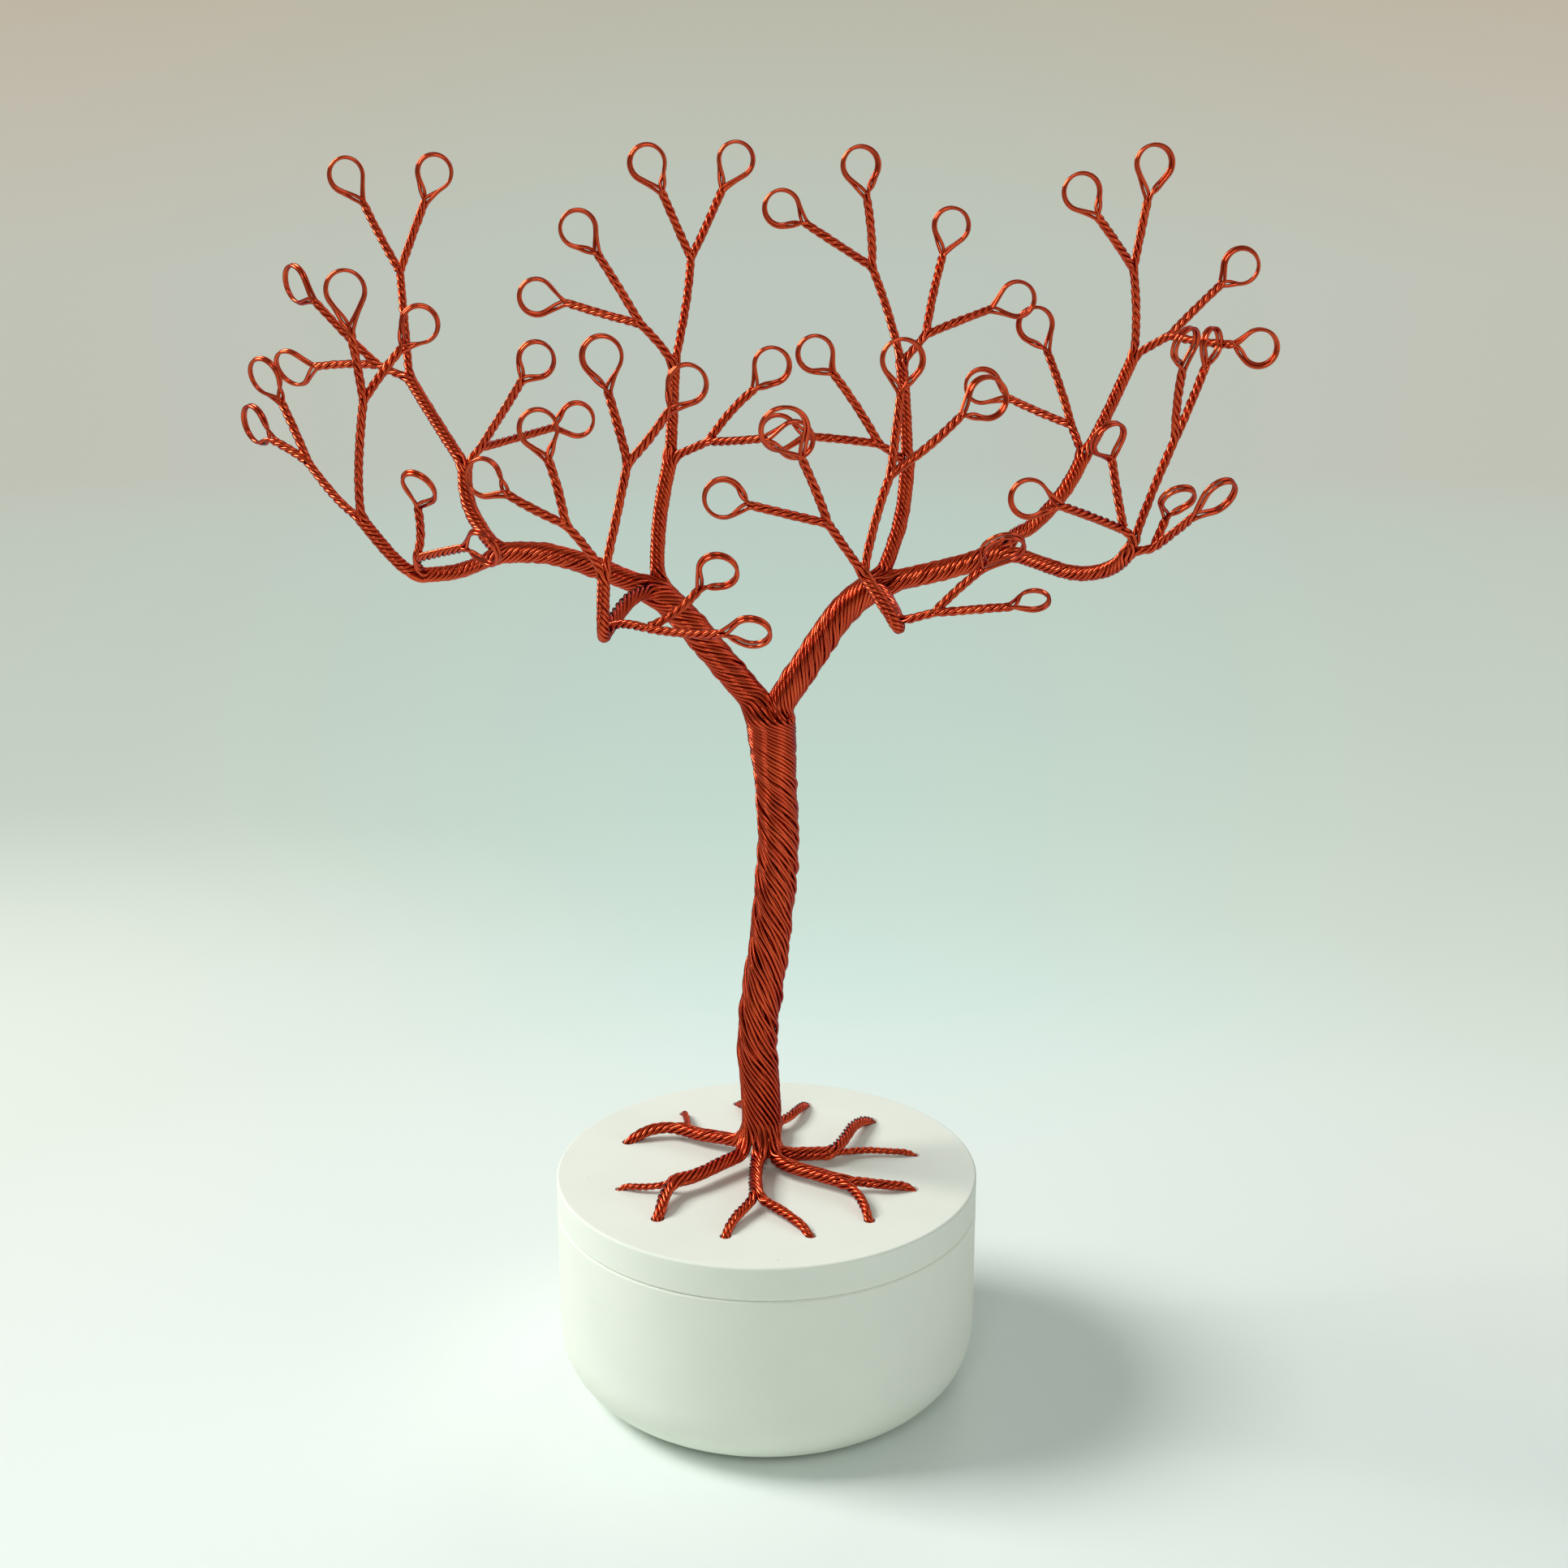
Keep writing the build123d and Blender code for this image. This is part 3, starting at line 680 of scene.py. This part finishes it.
# Left outer branches
low_fork = (-74.5, -9, 143.5)
end = (-86, -12, 156)
branch = make_branch(
    "branch_left_outer_low",
    [left_end, (-63, -4, 145), (-68, -7, 143.5), low_fork],
    [low_fork, (-79, -11, 146), end],
)
make_sprigs(1, branch, [
    (
        [end, (-90, -9, 158), (-95, -5, 162.5), (-99, -2, 167)],
        ([(-103, 0, 169.5), (-107.5, 2, 171.5)], (-55, 32, 34, 4.2, 2.1)),
        ([(-102, 2, 172.5), (-106, 6, 179.5)], (-31, 0, 34, 4.1, 2.1)),
    ),
    (
        [end, (-86, -14, 167.5), (-83.5, -15, 181)],
        ([(-84.5, -15, 189), (-85.5, -15, 195.5)], (-4, 0, 0, 4, 3.8)),
        ([(-80, -12, 186.5), (-76, -10, 191.5)], (40, 0, 0, 3.8, 2.5)),
    ),
    (
        [low_fork, (-74, -15, 148)],
        ([(-72.5, -15, 153), (-73.5, -14, 159)], (16, -42, 14, 3.9, 2.1)),
        ([(-68, -21, 150), (-61.5, -28, 152)], (83, -42, -22, 3.9, 2.1)),
    ),
])

low_fork = (-67, 10, 165)
end = (-80, 18, 184)
branch = make_branch(
    "branch_left_outer_high",
    [left_end, (-62, 4, 150), (-67, 8, 157.5), low_fork],
    [low_fork, (-73.5, 14, 174), end],
)
make_sprigs(4, branch, [
    (
        [end, (-84, 20, 185), (-87.5, 22, 186.5)],
        ([(-94, 22, 192.5), (-101.5, 22, 201)], (-53, 32, 34, 4.2, 2.2)),
        ([(-95, 24, 187), (-103, 26, 186)], (-94, 28, 24, 4.3, 2.3)),
    ),
    (
        [end, (-81, 22, 192), (-83, 29, 207)],
        ([(-87.5, 31, 214.5), (-91.5, 33, 222.5)], (-31, 0, 0, 3.8, 2.8)),
        ([(-80, 29, 214.5), (-76.5, 29, 222.5)], (21, 0, 0, 3.8, 2.7)),
    ),
    (
        [low_fork, (-63.5, 11, 169)],
        ([(-56.5, 6, 178.5), (-52.5, 3, 184.5)], (37, 0, 0, 3.8, 1.3)),
        ([(-56, 22, 170.5), (-49.5, 31, 172)], (72, 0, 0, 3.8, 2.1)),
    ),
])

# Left inner branches
low_fork = (-21, 8, 167)
end = (-20, 10, 187)
branch = make_branch(
    "branch_left_inner_high",
    [left_parting, (-24, 4, 148), (-23, 6, 158), low_fork],
    [low_fork, (-20.5, 10, 178), end],
)
make_sprigs(7, branch, [
    (
        [end, (-23, 8, 192), (-27, 6, 196)],
        ([(-31, 5, 203), (-36, 4, 211)], (-38, 0, 0, 3.8, 2.4)),
        ([(-35.5, 9, 198), (-44, 12, 200.5)], (-79, 0, 0, 3.8, 2.4)),
    ),
    (
        [end, (-17, 16, 201), (-16.5, 19, 210)],
        ([(-20, 16, 218), (-22.5, 14, 224)], (-27, 0, 0, 3.8, 2.7)),
        ([(-13, 23, 217), (-9.5, 26, 225)], (26, 0, 0, 3.8, 3)),
    ),
    (
        [low_fork, (-12.5, 3, 171)],
        ([(-7.5, 3, 178), (-2, 3, 182.5)], (36, 0, 0, 3.8, 2.2)),
        ([(-6.5, -2, 171.5), (0.5, -6, 172.5)], (92, 0, 0, 3.8, 2.3)),
    ),
])

low_fork = (-33, -26, 134.5)
end = (-32.5, -34, 147)
branch = make_branch(
    "branch_left_inner_low",
    [left_parting, (-28, -9, 139.5), (-31, -17, 137), low_fork],
    [low_fork, (-33, -32, 133.5), (-32.9, -34.5, 138.5), end],
    lay=(24, 24),
)
make_sprigs(10, branch, [
    (
        [end, (-35, -36, 152.5), (-39.5, -38, 158)],
        ([(-46.5, -37, 161), (-51.5, -36, 164)], (-57, 16, 14, 3.8, 2)),
        ([(-41, -37, 166), (-43, -36, 171)], (-16, 0, 0, 3.8, 2.2)),
    ),
    (
        [end, (-30, -32, 158), (-27.5, -30, 169.5)],
        ([(-29, -30, 176), (-31.5, -28, 184)], (-8, 0, 0, 4, 2.6)),
        ([(-23, -32, 174), (-18.5, -34, 180.5)], (35, 0, 0, 3.8, 2.2)),
    ),
    (
        [low_fork, (-29.5, -30, 137), (-24, -35, 136.5)],
        ([(-17, -34, 139.5), (-13, -33, 144.5)], (45, -24, -16, 3.9, 2)),
        ([(-16, -40, 136), (-8, -44, 137)], (84, -12, -36, 3.8, 2)),
    ),
])

# Right inner branches
low_fork = (27.5, -28, 136.5)
end = (20.5, -31, 147)
branch = make_branch(
    "branch_right_inner_low",
    [right_parting, (26.3, -10, 138.6), (27.6, -20, 136.7), low_fork],
    [low_fork, (28, -33.5, 135.7), (24.8, -34.2, 140.9), end],
    lay=(24, 24),
)
make_sprigs(13, branch, [
    (
        [end, (22.5, -29, 158), (26, -27, 167)],
        ([(27, -25, 175), (28, -24, 183.5)], (2, 0, 0, 4.1, 2.1)),
        ([(34, -24, 172), (41, -20, 178.5)], (58, 16, -6, 4.2, 2.2)),
    ),
    (
        [end, (13, -36, 158)],
        ([(10.5, -37, 165), (7.5, -38, 171.5)], (-31, -22, 2, 4.6, 2.4)),
        ([(4.5, -37, 160), (-3, -38, 162)], (-76, 0, 0, 3.8, 1.3)),
    ),
    (
        [low_fork, (35, -31, 139)],
        ([(40, -30, 144), (45.5, -28, 148)], (38, -34, -34, 4.3, 2.3)),
        ([(43, -33, 140), (50.5, -35.5, 141)], (75, 14, 62, 3.2, 1.6)),
    ),
])

low_fork = (31.5, 8, 166)
end = (30, 10, 187.5)
branch = make_branch(
    "branch_right_inner_high",
    [right_parting, (27, 2, 144.5), (31, 6, 155.5), low_fork],
    [low_fork, (31, 9, 178), end],
)
make_sprigs(16, branch, [
    (
        [end, (27.5, 14, 198), (23.5, 15, 208)],
        ([(15.5, 16, 213), (8.5, 18, 217.5)], (-58, 0, 0, 3.8, 1.9)),
        ([(23.5, 14, 215), (22, 12, 223)], (-12, 0, 0, 3.8, 2.6)),
    ),
    (
        [end, (35.5, 14, 193.5)],
        ([(37, 16, 202.5), (39.5, 20, 211)], (16, 0, 0, 3.8, 2.3)),
        ([(43, 16, 196.5), (50.5, 20, 199)], (70, 0, 0, 3.8, 2.3)),
    ),
    (
        [low_fork, (25, 4, 170.5)],
        ([(16, 5, 171.5), (9, 6, 172)], (-83, 0, 0, 3.8, 2.3)),
        ([(20, 4, 179), (14.5, 4, 186)], (-43, 0, 0, 3.8, 1.4)),
    ),
])

# Right outer branches
low_fork = (71, 12, 167)
end = (82, 15, 189)
branch = make_branch(
    "branch_right_outer_high",
    [right_end, (55, 4, 150.5), (60, 7, 152), (68, 10, 160.5), low_fork],
    [low_fork, (75, 13, 173), end],
)
make_sprigs(19, branch, [
    (
        [end, (82, 13, 199), (80.5, 12, 207.5)],
        ([(76, 8, 213), (71, 5, 218.5)], (-35, 0, 0, 3.8, 2.2)),
        ([(81.5, 12, 214), (83, 12, 222.5)], (8, 0, 0, 3.8, 3.4)),
    ),
    (
        [end, (88.5, 9, 193.5)],
        ([(94, 11, 199), (100.5, 14, 204.5)], (47, 0, 0, 3.8, 1.6)),
        ([(94, 2, 192), (100, -4, 192)], (97, 0, 0, 3.8, 1.4)),
    ),
    (
        [low_fork, (69, 18, 173.5)],
        ([(62, 22, 176), (55.5, 27, 179)], (-66, 0, 0, 3.8, 2.7)),
        ([(67, 20, 181), (63.5, 23, 190)], (-26, 0, 0, 3.8, 2.3)),
    ),
])

low_fork = (77, -17, 149.5)
end = (78, -18, 152.5)
branch = make_branch(
    "branch_right_outer_low",
    [right_end, (60, -5, 145.5), (67.5, -10, 143.5), (75, -14, 145.5), low_fork],
    [low_fork, end],
)
make_sprigs(22, branch, [
    (
        [end, (82, -15, 163), (86.5, -13, 173)],
        ([(85.5, -17, 180.5), (86, -20, 188)], (-4, -30, -40, 3.5, 1.9)),
        ([(90.5, -9, 180.5), (93.5, -6, 187.5)], (14, 10, -46, 3.2, 1.8)),
    ),
    (
        [end, (75.5, -19, 154.5)],
        ([(74, -17, 162), (73, -15, 169)], (-19, -38, -18, 3.8, 2)),
        ([(68, -25, 158), (60, -30, 161)], (-77, 0, 0, 3.8, 2.3)),
    ),
    (
        [low_fork, (82, -18, 150.5)],
        ([(83.5, -17, 154), (85, -16, 157)], (19, -40, -24, 3.6, 1.9)),
        ([(86, -23, 155), (88.5, -27, 158.5)], (50, 0, -44, 4, 2.1)),
    ),
])

# Limbs: the trunk parts into two limbs of forty-eight wires. Each gives two branches at its parting,
# and its last twenty-four wires go out to two more.
limb_left_upper = bundle(
    "limb_left_upper_wires", 24,
    [left_parting, (-34, 0, 142.5), (-42, 0, 145.5), (-50, 0, 147.5), left_end],
    [branches["branch_left_outer_high"], branches["branch_left_outer_low"]],
)
limb_right_upper = bundle(
    "limb_right_upper_wires", 24, [right_parting, (36, 0, 142.5), (44, 0, 144.5), right_end],
    [branches["branch_right_outer_high"], branches["branch_right_outer_low"]],
)
limb_left = bundle(
    "limb_left_wires", 48,
    [crotch, (-4.5, 0, 116.5), (-13.5, 0, 127.5), (-19, 0, 134), left_parting],
    [limb_left_upper, branches["branch_left_inner_high"], branches["branch_left_inner_low"]],
)
limb_right = bundle(
    "limb_right_wires", 48,
    [crotch, (4.5, 0, 115), (12.5, 0, 127.5), (18, 0, 135.5), right_parting],
    [limb_right_upper, branches["branch_right_inner_high"], branches["branch_right_inner_low"]],
)


# Trunk: all ninety-six wires in one bundle, twisted more tightly and spread a little wider towards the
# crotch. Its even part starts where the roots come together.
wires_in_trunk = 96
trunk_foot = 11
trunk_lay = (30, 56)
trunk_swell = (0.84, 1.2)
trunk_route = [
    (-1.2, 3, trunk_foot), (-1.2, 3, 16), (-2.5, 3, 32), (-0.5, 2, 46), (1.5, 2, 62), (3, 1, 78),
    (2.7, 0, 91), (0.9, 0, 112.4),
]
trunk = bundle(
    "trunk_wires", wires_in_trunk, trunk_route, [limb_left, limb_right], trunk_lay, trunk_swell,
)
trunk_start = trunk["route"][0]
to_front = Vector((0, -1, 0))
trunk_stations, trunk_lines = lay_evenly(trunk, to_front, trunk_start, last_point(trunk))
trunk_heads = [[line[0]] for line in trunk_lines]


# Roots: seventy-two wires spread out at the foot in six bundles of twelve, dealt out in turn from a
# seam at the trunk's right. Each root parts into two tips that dive into their pits. The twenty-four
# innermost wires stand on the lid under the trunk.
wires_in_root = 12
seam = math.radians(-17.3)
upright = 3
dives = ((36, 0.7), (37.4, -2.2))
root_lay = (30, 30)
tip_swell = (0.3, 0.78)
root_start = (-1.2, 3, 2)
roots = {
    "root_right": {
        "main": [(5, -0.6, 1.5), (10.5, 0.2, 1.3), (15, 0.3, 1.3)],
        "tips": [
            {"wires": 9, "angle": 44,
             "route": [(17.7, 5.4, 1.5), (19.7, 11.4, 1.5), (21.6, 17.4, 1.4)]},
            {"wires": 3, "angle": 9,
             "route": [(18.7, 4.2, 0.8), (24.6, 5.7, 0.5), (30.2, 5.0, 0.45)]},
        ],
    },
    "root_back": {
        "main": [(0.6, 9.5, 1.6), (2.2, 14, 1.3), (2, 18, 1.3)],
        "tips": [
            {"wires": 6, "route": [(5, 21.5, 1.3), (7.4, 27, 1.0)], "angle": 74},
            {"wires": 6, "route": [(-1.2, 22, 1.2), (-4.7, 28.5, 0.8)], "angle": 102},
        ],
    },
    "root_left": {
        "main": [(-11, 8.5, 1.6), (-17, 11, 1.3), (-20, 13.5, 1.3)],
        "tips": [
            {"wires": 9, "route": [(-25, 15.5, 1.4), (-29, 15, 0.9)], "angle": 159},
            {"wires": 3, "route": [(-19.7, 18, 1.6), (-20.5, 24.5, 0.8)], "angle": 126},
        ],
    },
    "root_front_left": {
        "main": [(-10, -5.5, 1.8), (-17, -13, 1.6), (-21, -15, 1.8)],
        "tips": [
            {"wires": 9, "route": [(-22.7, -18.4, 1.4), (-23.5, -22.5, 0.8)], "angle": 228},
            {"wires": 3, "route": [(-24.5, -14.2, 0.8), (-30, -14.2, 0.5)], "angle": 200},
        ],
    },
    "root_front": {
        "main": [(-2.6, -8, 1.5), (-2.5, -16, 1.3), (-2.2, -21.3, 1.3)],
        "tips": [
            {"wires": 6, "route": [(-4.3, -25, 0.9), (-7, -30, 0.5)], "angle": 256},
            {"wires": 6, "route": [(0.3, -23.5, 0.9), (4.5, -27.7, 0.5)], "angle": 286},
        ],
    },
    "root_front_right": {
        "main": [(4, -6.5, 1.6), (10.6, -10, 1.3), (17.3, -14.3, 1.3)],
        "tips": [
            {"wires": 6, "route": [(20, -17.4, 1.3), (22, -22.3, 0.8)], "angle": 310},
            {"wires": 6, "route": [(22, -13.4, 1.2), (28, -14.3, 0.7)], "angle": 340},
        ],
    },
}


def raised(place, wires):
    """A root's point, given by the rise of its underside, raised to the bundle's middle."""
    x, y, rise = place
    return x, y, rise + bundle_radius(wires)


def make_root(label, root):
    """A root and its two tips, which taper and then dive between two radii of the lid."""
    main = [raised(place, wires_in_root) for place in [root_start] + root["main"]]
    tips = []
    for tip in root["tips"]:
        angle = math.radians(tip["angle"])
        route = [main[-1]] + [raised(place, tip["wires"]) for place in tip["route"]]
        for radius, height in dives:
            route.append((radius * math.cos(angle), radius * math.sin(angle), height))
        tips.append(bundle(label + "_wires", tip["wires"], route, lay=root_lay, swell=tip_swell))
    return bundle(label + "_wires", wires_in_root, main, tips, root_lay)


def around(point):
    """The angle at which a point lies round the trunk's foot."""
    return math.atan2(point.y - trunk_start.y, point.x - trunk_start.x)


down = Vector((0, 0, -1))
trunk_slots = slots(wires_in_trunk)
outermost = sorted(range(wires_in_trunk), key=lambda i: -trunk_slots[i][0])
outermost = outermost[:wires_in_root * len(roots)]
in_turn = sorted(outermost, key=lambda i: (around(trunk_lines[i][0]) - seam) % (2 * math.pi))
for number, (label, root) in enumerate(roots.items()):
    root_bundle = make_root(label, root)
    group = in_turn[wires_in_root * number:wires_in_root * (number + 1)]
    start = first_point(root_bundle, trunk)
    way_out = way_of(*root_bundle["route"][:2])
    normal = down.rotation_difference(way_out) @ to_front
    stations, lines = lay_evenly(root_bundle, normal, start, last_point(root_bundle))
    chosen = match([trunk_lines[i][1::-1] for i in group], down, lines, way_out)
    grown = [None] * wires_in_root
    for i, j in chosen.items():
        leaving = trunk_lines[group[i]]
        crossing = flow(leaving[0], way_of(leaving[1], leaving[0]), lines[j][0], way_of(*lines[j][:2]),
                        stiffness=0.3)
        half = len(crossing) // 2
        trunk_heads[group[i]] = crossing[half:0:-1]
        grown[j] = crossing[half:-1]
    part_bundle(root_bundle, grown, lines, stations)
for i in set(range(wires_in_trunk)) - set(outermost):
    foot = trunk_lines[i][0]
    trunk_heads[i] = [Vector((foot.x, foot.y, lid_top + wire_d)), foot + upright * down]
part_bundle(trunk, trunk_heads, trunk_lines, trunk_stations)


# Every bundle's wires are one piece, which stands for the solid of the same name. Each wire is a round
# tube with closed ends, and the whole tree is lifted with the lid.
for name, lines in sorted(drawn.items()):
    curve = bpy.data.curves.new(name, "CURVE")
    curve.dimensions = "3D"
    curve.bevel_depth = wire_d / 2 * mm
    curve.bevel_resolution = 2
    curve.use_fill_caps = True
    for line in lines:
        spline = curve.splines.new("POLY")
        spline.points.add(len(line) - 1)
        for point, place in zip(spline.points, line):
            point.co = (*(place * mm), 1)
    curve_object = bpy.data.objects.new(name + "_curve", curve)
    mesh = bpy.data.meshes.new_from_object(curve_object)
    mesh.name = name
    bpy.data.objects.remove(curve_object)
    bpy.data.curves.remove(curve)
    for face in mesh.polygons:
        face.use_smooth = len(face.vertices) == 4
    mesh.materials.clear()
    mesh.materials.append(enamelled_copper)
    piece = bpy.data.objects.new(name, mesh)
    bpy.context.scene.collection.objects.link(piece)
    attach(piece, "lid")
    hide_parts(name.removesuffix("_wires"))
